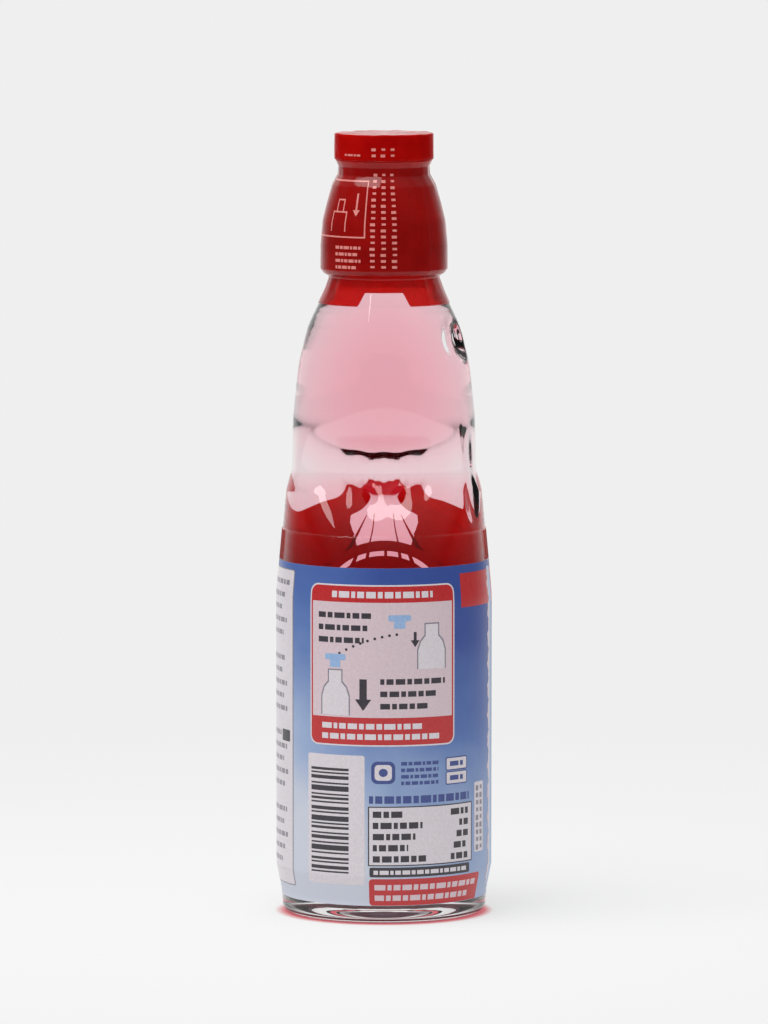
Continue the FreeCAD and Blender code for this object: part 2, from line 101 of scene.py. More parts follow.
def moulded_glass(name, tint, index, wide, ripple):
    """Soda-lime glass from a mould: clear, with a hard gloss and slow ripples where the mould chilled it."""
    material, tree, place = new_finish(name)
    glass = add(tree, "BsdfPrincipled", {
        "Base Color": linear(tint), "Roughness": 0.0, "IOR": index, "Transmission Weight": 1.0,
    }, {"Normal": uneven(tree, place, wide, ripple)})
    add(tree, "OutputMaterial", None, {"Surface": glass})
    return material


def pink_soda():
    """Pink soda, strained clear: no edge of its own inside the wetted glass, and redder where it is deep."""
    material, tree, _ = new_finish("pink_soda")
    liquid = add(tree, "BsdfPrincipled", {
        "Base Color": linear("#ffffff"), "Roughness": 0.0, "IOR": 1.0, "Transmission Weight": 1.0,
    })
    depth = add(tree, "VolumeAbsorption", {"Color": linear("#fe007c"), "Density": 20.3})
    add(tree, "OutputMaterial", None, {"Surface": liquid, "Volume": depth})
    return material


# Plastics and rubber

def moulded(name, dark, light, roughness, index, through):
    """An injection moulding: one dyed colour that clouds with the flow, fine grit, some light through it."""
    material, tree, place = new_finish(name)
    flow = add(tree, "TexNoise", {"Scale": per_mm(6), "Detail": 2.0}, {"Vector": place})
    colour = add(tree, "ValToRGB", {"stops": [(0.3, dark), (0.7, light)]}, {"Fac": flow})
    grit = uneven(tree, place, 0.5, 0.01, 2.0)          # the tool's grit, drawn coarse to show
    plastic = add(tree, "BsdfPrincipled", {"Roughness": roughness, "IOR": index},
                  {"Base Color": colour, "Normal": grit})
    backlit = add(tree, "BsdfTranslucent", None, {"Color": colour})
    mixed = add(tree, "MixShader", {0: through}, {1: plastic, 2: backlit})
    add(tree, "OutputMaterial", None, {"Surface": mixed})
    return material


def film_gloss(tree, body, index, roughness, normal):
    """Lay the gloss of a film's outer face over its body, stronger toward the edge of the view."""
    gloss = add(tree, "BsdfAnisotropic", {"Color": linear("#ffffff"), "Roughness": roughness},
                {"Normal": normal})
    edge = add(tree, "Fresnel", {"IOR": index}, {"Normal": normal})
    inner = add(tree, "NewGeometry").outputs["Backfacing"]
    share = add(tree, "Mix", {"data_type": "FLOAT", 3: 0.0}, {0: inner, 2: edge})
    glossy = add(tree, "MixShader", None, {0: share, 1: body, 2: gloss})
    add(tree, "OutputMaterial", None, {"Surface": glossy})


FILM_COVER = 0.42               # how far the film's ink hides what is under it
FILM_BACKLIT = 0.5              # how much of the ink is lit from behind


def red_shrink_film(name, crinkled, index, roughness):
    """Red PVC film shrunk on with steam: see-through, wet gloss, bright over pale things, dark over red."""
    material, tree, place = new_finish(name)
    cloud = add(tree, "TexNoise", {"Scale": per_mm(8), "Detail": 2.0}, {"Vector": place})
    dye = add(tree, "ValToRGB", {"stops": [(0.3, "#f0645c"), (0.7, "#f8746a")]}, {"Fac": cloud})
    ink = add(tree, "ValToRGB", {"stops": [(0.3, "#cc1412"), (0.7, "#dc1e18")]}, {"Fac": cloud})
    normal = uneven(tree, place, 2.5, crinkled, 2.0)
    clear = add(tree, "BsdfTransparent", None, {"Color": dye})
    solid = add(tree, "BsdfDiffuse", None, {"Color": ink, "Normal": normal})
    backlit = add(tree, "BsdfTranslucent", None, {"Color": ink})
    inked = add(tree, "MixShader", {0: FILM_BACKLIT}, {1: solid, 2: backlit})
    body = add(tree, "MixShader", {0: FILM_COVER}, {1: clear, 2: inked})
    film_gloss(tree, body, index, roughness, normal)
    return material


# The printed sleeve

PET_INDEX, PET_ROUGH = 1.57, 0.25
PULL_WIDE, PULL_DEEP = 9, 0.03                      # the film pulls slightly uneven as it shrinks
SKY_HALF, SKY_LEFT, SKY_RIGHT, SKY_DRIFT = 29.0, -0.28, 0.20, 0.10     # paler to the left, and cloudy


def printed_film(name, foot, top, stops, glow):
    """PET film printed by gravure and shrunk on: even gloss, soft cloudy ink, some light through it."""
    material, tree, place = new_finish(name)
    axes = add(tree, "SeparateXYZ", None, {"Vector": place})
    up = add(tree, "MapRange", {"From Min": foot * MM, "From Max": top * MM}, {"Value": axes.outputs["Z"]})
    across = add(tree, "MapRange", {
        "From Min": -SKY_HALF * MM, "From Max": SKY_HALF * MM, "To Min": SKY_LEFT, "To Max": SKY_RIGHT,
    }, {"Value": axes.outputs["X"]})
    slope = add(tree, "Math", {"operation": "ADD"}, {0: up, 1: across})
    cloud = add(tree, "TexNoise", {"Scale": per_mm(24), "Detail": 3.0}, {"Vector": place})
    drift = add(tree, "MapRange", {
        "From Min": 0.3, "From Max": 0.7, "To Min": -SKY_DRIFT, "To Max": SKY_DRIFT,
    }, {"Value": cloud})
    level = add(tree, "Math", {"operation": "ADD"}, {0: slope, 1: drift})
    colour = add(tree, "ValToRGB", {"stops": stops}, {"Fac": level})
    ink = add(tree, "BsdfPrincipled", {"Roughness": PET_ROUGH, "IOR": PET_INDEX},
              {"Base Color": colour, "Normal": uneven(tree, place, PULL_WIDE, PULL_DEEP)})
    through = add(tree, "BsdfTranslucent", None, {"Color": colour})
    mixed = add(tree, "MixShader", {0: glow}, {1: ink, 2: through})
    add(tree, "OutputMaterial", None, {"Surface": mixed})
    return material


def clear_film():
    """Bare PET film past the print, tight on the glass: it only adds a thin gloss with small creases."""
    material, tree, place = new_finish("clear_pet_film")
    clear = add(tree, "BsdfTransparent", {"Color": linear("#fefefe")})
    film_gloss(tree, clear, 1.25, 0.12, uneven(tree, place, 3, 0.08, 2.0))
    return material


def gravure_ink(name, dark, light):
    """Gravure ink under a film: flat colour broken by the faint speckle of the print cells."""
    material, tree, place = new_finish(name)
    # The print cells, drawn coarse to show
    cells = add(tree, "TexNoise", {"Scale": per_mm(0.6), "Detail": 1.0}, {"Vector": place})
    colour = add(tree, "ValToRGB", {"stops": [(0.35, dark), (0.65, light)]}, {"Fac": cells})
    ink = add(tree, "BsdfPrincipled", {"Roughness": PET_ROUGH, "IOR": PET_INDEX},
              {"Base Color": colour, "Normal": uneven(tree, place, PULL_WIDE, PULL_DEEP)})
    add(tree, "OutputMaterial", None, {"Surface": ink})
    return material


# Turned shapes

RUN_SHARE = 0.48                # the most of a straight run that one rounding takes
ON_AXIS = 1e-6                  # a row with a smaller radius is a point


def rounded(corners, bend=6.0):
    """Points along an outline of (radius, height, rounding) corners; bend is the degrees between points."""
    points = []
    for n, (r, z, blend) in enumerate(corners):
        here = np.array([r, z], float)
        if blend == 0 or n in (0, len(corners) - 1):
            points.append(here)
            continue
        before = np.array(corners[n - 1][:2], float) - here
        after = np.array(corners[n + 1][:2], float) - here
        before_long, after_long = np.linalg.norm(before), np.linalg.norm(after)
        before, after = before / before_long, after / after_long
        corner = math.acos(np.clip(before @ after, -1, 1))
        reach = min(blend / math.tan(corner / 2), RUN_SHARE * before_long, RUN_SHARE * after_long)
        steps = max(2, math.ceil(math.degrees(math.pi - corner) / bend))
        start, end = here + before * reach, here + after * reach
        for t in np.linspace(0, 1, steps + 1):
            points.append((1 - t) ** 2 * start + 2 * t * (1 - t) * here + t ** 2 * end)
    return np.array(points)


def divided(points, step):
    """The same outline with no run longer than step."""
    out = [points[0]]
    for a, b in zip(points, points[1:]):
        pieces = max(1, math.ceil(np.linalg.norm(b - a) / step))
        out += [a + (b - a) * n / pieces for n in range(1, pieces + 1)]
    return np.array(out)


def spun(outline):
    """Radii and heights of an outline at every angle."""
    return np.repeat(outline[:, :1], TURNS, axis=1), np.repeat(outline[:, 1:], TURNS, axis=1)


def turned(radii, heights, closed=False):
    """Vertices in metres and faces of a turned skin; a row of radius 0 becomes one point on the axis."""
    vertices, rings = [], []
    for row_r, row_z in zip(radii, heights):
        if row_r.max() < ON_AXIS:
            rings.append([len(vertices)] * TURNS)
            vertices.append((0, 0, row_z.mean() * MM))
            continue
        rings.append(list(range(len(vertices), len(vertices) + TURNS)))
        vertices += zip(row_r * np.cos(ANGLES) * MM, row_r * np.sin(ANGLES) * MM, row_z * MM)
    faces = []
    for low, high in zip(rings, rings[1:] + (rings[:1] if closed else [])):
        for j in range(TURNS):
            k = (j + 1) % TURNS
            corners = [low[j], low[k], high[k], high[j]]
            face = [v for n, v in enumerate(corners) if v not in corners[:n]]
            if len(face) > 2:
                faces.append(face)
    return vertices, faces


def make(name, shape, finishes, body, nodes=(), pick=None):
    """A smooth mesh piece that rides on a body; pick gives each face's finish."""
    mesh = bpy.data.meshes.new(name)
    mesh.from_pydata(shape[0], [], shape[1])
    for finish in finishes:
        mesh.materials.append(finish)
    mesh.polygons.foreach_set("use_smooth", [True] * len(mesh.polygons))
    if pick:
        for face in mesh.polygons:
            face.material_index = pick(face)
    mesh.update()
    piece = bpy.data.objects.new(name, mesh)
    bpy.context.scene.collection.objects.link(piece)
    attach(piece, body)
    if nodes:
        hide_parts(*nodes)


# Dents in the glass, each a distance that is below zero inside the dent

PINCH_Z, PINCH_HALF, PINCH_ROUND, PINCH_WALL = 119.5, 12.7, 4.5, 5.0
PINCH_UP, PINCH_LOW, PINCH_HOLLOW, PINCH_RIM = 0.90, 1.00, 60.0, 10.0
LEDGE, LEDGE_Z, LEDGE_SOFT, LEDGE_BOWL, LEDGE_SPAN = 5.2, 128.5, 1.2, 50.0, 27.0
FLUTE_FRONT, FLUTE_BACK, FLUTE_Z = 0.60, 0.50, 120.5
FLUTE_WIDE, FLUTE_TALL, FLUTE_SPAN = 7.3, 7.0, 14.0
CATCH_Z, CATCH_OFF, CATCH_R, CATCH_WALL, CATCH_TURN, CATCH_RIM = 156.0, 25.6, 7.3, 3.4, 18.0, 1.0
GROOVE_Z, GROOVE_OFF, GROOVE_R, GROOVE_SLIM, GROOVE_TURN, GROOVE_RIM = 126.0, 94.0, 70.0, 2.0, -26.0, 0.4
HALVINGS = 34


def from_pinch(x, y, z, side, wall):
    """The pinch that holds the marble up: a fluted hollow across the front or back, and a ledge over it."""
    slope = np.where(z > PINCH_Z, PINCH_UP, PINCH_LOW)
    half = PINCH_HALF + np.hypot(PINCH_ROUND, slope * (z - PINCH_Z)) - PINCH_ROUND
    half = half + x ** 2 / (2 * PINCH_HOLLOW)
    ledge_z = LEDGE_Z + x ** 2 / (2 * LEDGE_BOWL)
    half = half + LEDGE * np.exp(-(x / LEDGE_SPAN) ** 4) / (1 + np.exp(-(z - ledge_z) / LEDGE_SOFT))
    deep = FLUTE_BACK if side > 0 else FLUTE_FRONT
    flutes = np.cos(2 * math.pi * x / FLUTE_WIDE) * np.exp(-(x / FLUTE_SPAN) ** 4)
    half = half + deep * flutes * np.exp(-((z - FLUTE_Z) / FLUTE_TALL) ** 2)
    return half - wall - side * y


def from_ball(x, y, z, off, bearing, middle, radius, slim=1.0):
    """A hollow pressed by a ball at a bearing, or by an egg that is slim across."""
    a = math.radians(bearing)
    inward = x * math.cos(a) + y * math.sin(a) - off
    across = (y * math.cos(a) - x * math.sin(a)) * slim
    return np.sqrt(inward ** 2 + across ** 2 + (z - middle) ** 2) - radius


def soft_max(a, b, blend):
    """The larger of two fields, with the crease between them rounded."""
    close = np.maximum(blend - np.abs(a - b), 0) / blend
    return np.maximum(a, b) + close ** 2 * blend / 4


def dents(x, y, z, pinch_wall, catch_wall, grooved):
    """The dents of one side of the wall, each with the rounding of its rim."""
    found = [(from_pinch(x, y, z, side, pinch_wall), PINCH_RIM) for side in (-1, 1)]
    for turn in (-CATCH_TURN, CATCH_TURN):
        found.append((from_ball(x, y, z, CATCH_OFF, turn, CATCH_Z, CATCH_R + catch_wall), CATCH_RIM))
    if grooved:
        groove = from_ball(x, y, z, GROOVE_OFF, GROOVE_TURN, GROOVE_Z, GROOVE_R, GROOVE_SLIM)
        found.append((groove, GROOVE_RIM))
    return found


def pressed_in(outline, pinch_wall, catch_wall, grooved):
    """Radii and heights of a turned outline after the dents are pressed in, by halving the search."""
    full, z = spun(outline)
    low, high = np.zeros_like(full), full.copy()
    for _ in range(HALVINGS):
        r = (low + high) / 2
        field = r - full
        for dent, rim in dents(r * np.cos(ANGLES), r * np.sin(ANGLES), z, pinch_wall, catch_wall, grooved):
            field = soft_max(field, -dent, rim)
        high = np.where(field > 0, r, high)
        low = np.where(field > 0, low, r)
    return np.where(full > 0, high, 0), z


# The glass bottle: from the hollow under the base up to the lip, then down inside to the floor

FILL_Z, FLOOR_Z, GLASS_STEP = 172.5, 9.0, 0.8
OUTSIDE = [
    (0, 3.0, 0), (12.0, 2.4, 20), (21.5, 0, 1.5), (27.4, 0, 3), (27.4, 6.0, 3), (28.75, 13.0, 3),
    (28.75, 86.5, 60), (27.2, 104.0, 40), (26.25, 114.3, 4), (24.8, 119.6, 4), (24.4, 134.0, 30),
    (23.0, 147.6, 30), (20.5, 157.9, 22), (15.6, 168.2, 4), (14.35, 171.2, 0.3), (14.35, 173.4, 0.5),
    (13.1, 174.65, 0.5), (13.1, 194.0, 0.8), (11.0, 194.0, 0),
]
INSIDE = [
    (11.0, 194.0, 0), (9.3, 194.0, 0.8), (9.3, FILL_Z, 3), (11.0, 168.2, 4), (15.7, 157.9, 22),
    (18.2, 147.6, 30), (19.6, 134.0, 30), (20.0, 119.6, 4), (21.45, 114.3, 4), (22.4, 104.0, 40),
    (23.95, 86.5, 60), (23.95, FLOOR_Z, 9), (12.0, FLOOR_Z, 0), (0, FLOOR_Z, 0),
]
THREAD_LEAD, THREAD_Z, THREAD_RISE = 4.0, 183.0, 5.0
THREAD_HIGH, THREAD_WIDE, THREAD_EDGE = 1.15, 1.7, 0.4
DRINK_GAP = 0.02


def threaded(radii, heights):
    """Raise the left handed thread rib on the mouth of the glass."""
    for turn in (-1, 0, 1):
        climbed = (1 - ANGLES / (2 * math.pi) + turn) * THREAD_LEAD
        there = np.clip(np.minimum(climbed, THREAD_RISE - climbed) / THREAD_EDGE + 0.5, 0, 1)
        off = np.abs(heights - THREAD_Z - climbed)
        radii = radii + there * THREAD_HIGH * np.clip((THREAD_WIDE / 2 - off) / THREAD_EDGE, 0, 1)
    return radii


outer_r, outer_z = pressed_in(divided(rounded(OUTSIDE), GLASS_STEP), 0, 0, True)
outer_r = threaded(outer_r, outer_z)
inner_r, inner_z = pressed_in(divided(rounded(INSIDE), GLASS_STEP), PINCH_WALL, CATCH_WALL, False)
first_inner = (len(outer_r) - 1) * TURNS        # the first row outside is one point on the axis


def glass_side(face):
    """1 on the inside wall below the level of the drink, 0 elsewhere."""
    return int(face.vertices[0] >= first_inner and face.center.z < FILL_Z * MM)


make("glass_bottle_pressed", turned(np.vstack([outer_r, inner_r[1:]]), np.vstack([outer_z, inner_z[1:]])),
     [moulded_glass("pressed_soda_lime_glass", "#fdfefe", GLASS_INDEX, 14, 0.04),
      moulded_glass("wetted_soda_lime_glass", "#fdfefe", GLASS_INDEX / DRINK_INDEX, 14, 0.06)],
     "bottle", ["glass_bottle"], glass_side)

filled = inner_z[:, 0] <= FILL_Z
drink_r = np.vstack([np.zeros((1, TURNS)), np.maximum(inner_r[filled] - DRINK_GAP, 0)])
drink_z = np.vstack([np.full((1, TURNS), FILL_Z), np.maximum(inner_z[filled], FLOOR_Z + DRINK_GAP)])
make("drink_filled", turned(drink_r[::-1], drink_z[::-1]), [pink_soda()], "bottle", ["drink"])


# The red film: a skirt over the cap and the neck, with notches in its foot

FILM = 0.12
SEAM_AT, SEAM_WIDE, SEAM_LIFT, SEAM_EDGE = math.radians(-50), 4.2, 0.10, 0.3
SKIRT_FOOT, NECK_Z, SKIRT_STEP = 164.4, 171.5, 0.6
SKIRT = [
    (17.7, SKIRT_FOOT, 0), (15.9, 168.3, 3), (14.75, NECK_Z, 0.8), (16.3, 172.5, 0.5), (17.1, 173.6, 0.8),
    (17.1, 180.0, 8), (16.5, 186.5, 8), (15.25, 191.5, 8), (13.95, 196.0, 2), (12.3, 198.9, 1),
    (12.25, 201.0, 0.6), (13.1, 202.9, 0),
]
NOTCH_HIGH, NOTCH_HALF, NOTCH_RUN, NOTCH_R = 3.6, 6.9, 1.4, 16.9
NOTCHES = [FRONT, FRONT + 2 * math.pi / 3, FRONT - 2 * math.pi / 3]
PLEATS = [                      # height, reach, steepness and depth, waves round the film, and their slant
    (198.5, 3.4, 2, 0.20, (7, 11, 19), 0.0),
    (169.5, 3.0, 2, 0.14, (9, 16, 23), 0.0),
    (183.0, 8.0, 4, 0.09, (3, 5, 8), 0.02),
]
PLEAT_SHIFT = 1.7


def apart(angle, middle):
    """The turn from middle to angle, the shorter way."""
    return (angle - middle + math.pi) % (2 * math.pi) - math.pi


def waves(angle, counts):
    """Uneven waves round the film, between -1 and 1."""
    return sum(np.sin(n * angle + PLEAT_SHIFT * n) for n in counts) / len(counts)


def seam_lap(angle, radius):
    """How far the film is raised by its lapped seam."""
    return SEAM_LIFT * np.clip((SEAM_WIDE / 2 - np.abs(apart(angle, SEAM_AT)) * radius) / SEAM_EDGE, 0, 1)


skirt_outline = divided(rounded(SKIRT), SKIRT_STEP)


def film_surface(angle, z):
    """Outer radius of the skirt, with its pleats, deepest where it shrank most, and its lapped seam."""
    radius = np.interp(z, skirt_outline[:, 1], skirt_outline[:, 0])
    pleats = 0
    for middle, reach, steep, depth, counts, slant in PLEATS:
        pleats = pleats + depth * np.exp(-((z - middle) / reach) ** steep) * waves(angle + slant * z, counts)
    return radius + pleats + seam_lap(angle, radius)


skirt_z = spun(skirt_outline)[1]
notch = sum(np.clip((NOTCH_HALF - np.abs(apart(ANGLES, a)) * NOTCH_R) / NOTCH_RUN, 0, 1) for a in NOTCHES)
shorter = 1 - NOTCH_HIGH * notch / (NECK_Z - SKIRT_FOOT)
skirt_z = np.where(skirt_z < NECK_Z, NECK_Z - (NECK_Z - skirt_z) * shorter, skirt_z)
skirt_r = film_surface(ANGLES, skirt_z)
make("seal_skirt_film",
     turned(np.vstack([skirt_r, skirt_r[::-1] - FILM]), np.vstack([skirt_z, skirt_z[::-1]]), True),
     [red_shrink_film("red_shrink_film", 0.05, 1.36, 0.10)], "cap", ["seal_skirt"])


# The top of the red film, which tears off: a crinkled lid with an upright side

TOP_FOOT, TOP_R, TOP_Z, TOP_STEP = 203.0, 13.35, 209.9, 0.7
TOP = [(TOP_R, TOP_FOOT, 0), (TOP_R, TOP_Z, 0.6), (9.0, TOP_Z, 0), (0, TOP_Z, 0)]
LID_R, LID_Z, LID_WAVE, LID_COUNTS = 13.0, 209.0, 0.10, (4, 9, 15)
SIDE_R, SIDE_RUN, SIDE_WAVE, SIDE_COUNTS, SIDE_SLANT = 12.0, 1.2, 0.05, (5, 8, 13), 0.05

top_r, top_z = spun(divided(rounded(TOP), TOP_STEP))
on_side = np.clip((top_r - SIDE_R) / SIDE_RUN, 0, 1)
on_lid = np.clip(top_r / LID_R, 0, 1) * np.clip(top_z - LID_Z, 0, 1)
top_z = top_z + LID_WAVE * on_lid * waves(ANGLES, LID_COUNTS)
side_wave = SIDE_WAVE * waves(ANGLES + SIDE_SLANT * top_z, SIDE_COUNTS) - SIDE_WAVE
top_r = top_r + on_side * (side_wave + seam_lap(ANGLES, TOP_R))
top_in_r = np.maximum(top_r - FILM * on_side, 0)
top_in_z = np.minimum(top_z, TOP_Z - LID_WAVE - FILM)
make("seal_top_film", turned(np.vstack([top_r, top_in_r[::-1]]), np.vstack([top_z, top_in_z[::-1]]), True),
     [red_shrink_film("crinkled_red_shrink_film", 0.20, 1.05, 0.22)], "seal", ["seal_top"])


# The sleeve: printed film with a bare margin, and red to its top edge round the back

SLEEVE_R, SLEEVE_FILM, SLEEVE_STEP = 28.97, 0.15, 1.2
PRINT_FOOT, PRINT_TOP, SLEEVE_FOOT, SLEEVE_TOP = 5.0, 95.6, 4.0, 104.0
SLEEVE = [
    (27.6, SLEEVE_FOOT, 0), (27.6, 6.0, 3), (SLEEVE_R, 13.0, 3), (SLEEVE_R, 86.5, 40),
    (27.40, SLEEVE_TOP, 0),
]
RED_FOOT, RED_FROM, RED_TO = 78.0, 46.0, 136.0      # the red band's foot, and its ends along the arc
SKY_FOOT, SKY_TOP, SKY_GLOW = 6, 94, 0.25
SKY = [(0.0, "#d5dbe8"), (0.30, "#a3b8dc"), (0.62, "#5f80c0"), (1.0, "#3c56a4")]
BACKING = [(0.0, "#e6e4e8"), (1.0, "#d3d8e6")]

sleeve_outline = divided(rounded(SLEEVE), SLEEVE_STEP)


def sleeve_surface(angle, z):
    """Outer radius of the sleeve, the same at every angle."""
    return np.interp(z, sleeve_outline[:, 1], sleeve_outline[:, 0]) + 0 * angle


def sleeve_side(face):
    """0 for the sky outside, 1 for its backing and 2 for bare film."""
    x, y, z = face.center / MM
    arc = (math.atan2(y, x) - FRONT) % (2 * math.pi) * SLEEVE_R
    behind = RED_FROM < arc < RED_TO and z > RED_FOOT
    if behind or not PRINT_FOOT < z < PRINT_TOP:
        return 2
    return 0 if math.hypot(x, y) > sleeve_surface(0, z) - SLEEVE_FILM / 2 else 1


cuts = np.unique(np.concatenate([sleeve_outline[:, 1], [PRINT_FOOT, PRINT_TOP, RED_FOOT]]))
sleeve_r, sleeve_z = spun(np.column_stack([sleeve_surface(0, cuts), cuts]))
sleeve_shape = turned(np.vstack([sleeve_r, sleeve_r[::-1] - SLEEVE_FILM]),
                      np.vstack([sleeve_z, sleeve_z[::-1]]), True)
make("label_sleeve", sleeve_shape,
     [printed_film("sky_printed_film", SKY_FOOT, SKY_TOP, SKY, SKY_GLOW),
      printed_film("white_backing_ink", SKY_FOOT, SKY_TOP, BACKING, SKY_GLOW), clear_film()],
     "bottle", ["body_label"], sleeve_side)


# Print, as thin patches of ink. A shape is rows of (height, left, right), measured round from the front

LIFT, LAYER, SUNK = 0.012, 0.010, 0.03
ROW_STEP, COLUMN_STEP, BLOCK_STEP = 0.6, 1.2, 2.5
BENDS, DISC_ROWS, DISC_END = 6, 11, math.pi / 2 - 0.08
DASHES, DASH_GAP, DASH_LEAST = (2.3, 1.5, 3.0, 1.1, 1.9, 2.6, 1.3), 0.55, 0.4
BAR_UNEVEN = 0.25


def block(left, foot, right, top, corner=0.0):
    """A rectangle, with rounded corners if they have a radius."""
    steps = math.ceil((top - foot) / BLOCK_STEP)
    if corner == 0:
        return [(z, left, right) for z in np.linspace(foot, top, max(2, steps + 1))]
    turns = np.linspace(0, math.pi / 2, BENDS)
    bends = [(corner * (1 - math.cos(a)), corner * (1 - math.sin(a))) for a in turns]
    low = [(foot + up, left + inset, right - inset) for up, inset in bends]
    high = [(top - down, left + inset, right - inset) for down, inset in bends]
    between = np.linspace(foot + corner, top - corner, max(2, steps))[1:-1]
    return low + [(z, left, right) for z in between] + high[::-1]


def inside(box, edge):
    """A box of left, foot, right and top that is smaller by an edge on every side."""
    left, foot, right, top = box
    return left + edge, foot + edge, right - edge, top - edge


def disc(middle, height, across, tall):
    """An ellipse."""
    rows = []
    for a in np.linspace(-DISC_END, DISC_END, DISC_ROWS):
        half = across / 2 * math.cos(a)
        rows.append((height + tall / 2 * math.sin(a), middle - half, middle + half))
    return rows


def stack(middle, widths):
    """A shape even about a middle, from (height, width) pairs."""
    return [(z, middle - w / 2, middle + w / 2) for z, w in widths]


def dashes(left, right, foot, tall, first=0, size=1.0):
    """A line of short bars; first picks the length that it starts with."""
    bars, at, n = [], left, first
    while at < right:
        end = min(at + DASHES[n % len(DASHES)] * size, right)
        if end - at > DASH_LEAST * size:
            bars.append(block(at, foot, end, foot + tall))
        at, n = end + DASH_GAP * size, n + 1
    return bars


def columns(lefts, wide, foot, top, pitch, tall):
    """Columns of short bars, each a little different in height."""
    bars = []
    for n, left in enumerate(lefts):
        for k, z in enumerate(np.arange(top, foot, -pitch)):
            short = BAR_UNEVEN * ((k * 5 + n * 3) % 4) / 3
            bars.append(block(left + short, z - tall * (1 - short), left + wide, z))
    return bars


def printed(name, shapes, surface, arc_r, ink, body):
    """One piece of all the patches in one ink; shapes are (rows, layer)."""
    vertices, faces = [], []
    for rows, layer in shapes:
        rows = divided(np.array(rows), ROW_STEP)
        across = max(2, math.ceil(max(right - left for _, left, right in rows) / COLUMN_STEP) + 1)
        z = np.array([[row[0]] * across for row in rows])
        angle = FRONT + np.array([np.linspace(row[1], row[2], across) for row in rows]) / arc_r
        r = surface(angle, z)
        start, count = len(vertices), z.size
        for lift in (LIFT + LAYER * layer, -SUNK):
            out = (r + lift) * MM
            vertices += zip((out * np.cos(angle)).ravel(), (out * np.sin(angle)).ravel(), (z * MM).ravel())
        grid = np.arange(count).reshape(z.shape) + start
        quads = np.stack([grid[:-1, :-1], grid[:-1, 1:], grid[1:, 1:], grid[1:, :-1]], axis=-1)
        quads = quads.reshape(-1, 4)
        faces += quads.tolist() + (quads[:, ::-1] + count).tolist()
        rim = np.concatenate([grid[0, :-1], grid[:-1, -1], grid[-1, :0:-1], grid[:0:-1, 0]]).tolist()
        first, around = len(vertices), len(rim)
        vertices += [vertices[v] for v in rim] + [vertices[v + count] for v in rim]
        for n in range(around):
            here, there = first + n, first + (n + 1) % around
            faces.append([here + around, there + around, there, here])
    make(name, (vertices, faces), [ink], body)


INKS = {
    "white": ("white_ink", "#c9c2c8", "#d0cad0"),
    "red": ("red_ink", "#ae2024", "#b8282b"),
    "pale": ("pale_pink_ink", "#c7b3ba", "#ccbac0"),
    "navy": ("navy_ink", "#33427e", "#3b4a86"),
    "black": ("black_ink", "#2c2830", "#343038"),
    "grey": ("grey_ink", "#77737e", "#807c86"),
    "blue": ("light_blue_ink", "#86a4cc", "#90add2"),
}
kept = {ink: [] for ink in INKS}


def put(ink, layer, *shapes):
    """Keep shapes to be printed in an ink, the higher layers over the lower."""
    kept[ink] += [(shape, layer) for shape in shapes]


BOTTLE_WIDTHS = [(0, 9.0), (5.5, 9.0), (8.0, 7.4), (9.6, 4.6), (13.0, 4.6)]
PICTURE_LINE, PICTURE_HEAD = 0.7, 0.97


def small_bottle(middle, foot, size):
    """The head of a bottle, drawn as a dark shape with a pale one inside it."""
    put("grey", 4, stack(middle, [(foot + z * size, w * size) for z, w in BOTTLE_WIDTHS]))
    put("white", 5, stack(middle, [(foot + z * size * PICTURE_HEAD, w * size - PICTURE_LINE)
                                   for z, w in BOTTLE_WIDTHS]))


def small_pusher(middle, foot, size):
    """A stopper pusher: a broad disc on a short stem."""
    half, stem = 3.4 * size, 1.7 * size
    put("blue", 6, block(middle - half, foot + 2.2 * size, middle + half, foot + 4.0 * size, 0.6 * size))
    put("blue", 6, block(middle - stem, foot, middle + stem, foot + 2.4 * size))


# The panel of two small pictures, with a red head and foot. A box is left, foot, right and top

PICTURES, PICTURE_FIELD = (-21.5, 48.0, 20.4, 91.2), (-20.6, 55.7, 19.5, 86.5)
LINE_TALL, LINE_PITCH, PICTURE_SIZE, PUSHER_SIZE = 1.5, 3.3, 0.95, 0.9
DOTS, DOT = 9, 0.75

put("white", 1, block(*PICTURES, 2.4))
put("red", 2, block(*inside(PICTURES, 0.4), 2.1))
put("pale", 3, block(*PICTURE_FIELD))
put("white", 3, *dashes(-14.5, 13.5, 87.7, 1.7, 1))
put("white", 3, *dashes(-17.5, 11.0, 52.6, LINE_TALL, 2), *dashes(-17.5, 15.5, 49.8, LINE_TALL, 4))
for line in range(3):
    put("black", 4, *dashes(-18.6, -3.4 - line, 82.2 - LINE_PITCH * line, LINE_TALL, line))
    put("black", 4, *dashes(-1.0, 17.2 - 2.2 * line, 64.6 - LINE_PITCH * line, LINE_TALL, line + 3))
small_bottle(13.2, 68.6, PICTURE_SIZE)
small_pusher(4.2, 79.6, PUSHER_SIZE)
small_bottle(-13.5, 56.2, PICTURE_SIZE)
small_pusher(-13.5, 69.0, PUSHER_SIZE)
put("black", 5, stack(-5.6, [(57.6, 0.1), (60.6, 4.4)]), block(-6.6, 60.6, -4.6, 66.0))
put("black", 5, stack(8.4, [(74.6, 0.1), (76.4, 2.4)]), block(8.0, 76.4, 8.8, 78.6))
for t in np.linspace(0, 1, DOTS):
    put("black", 5, disc(3.4 - 15.6 * t, 78.0 - 3.6 * t * t - 1.6 * t, DOT, DOT))


# The striped block, a ring mark, two small boxes and fine lines

STRIPED, STRIPES, STRIPE_LEFT, STRIPE_RIGHT = (-22.3, 10.6, -5.2, 45.5), 22, -21.2, -9.6
STRIPE_TALL, STRIPE_GAP = (0.45, 0.95, 0.45, 0.7, 0.45, 1.4), (0.45, 0.7, 0.45, 0.9, 0.5)
RING_MARK = (-3.4, 38.0, 3.0, 44.0)

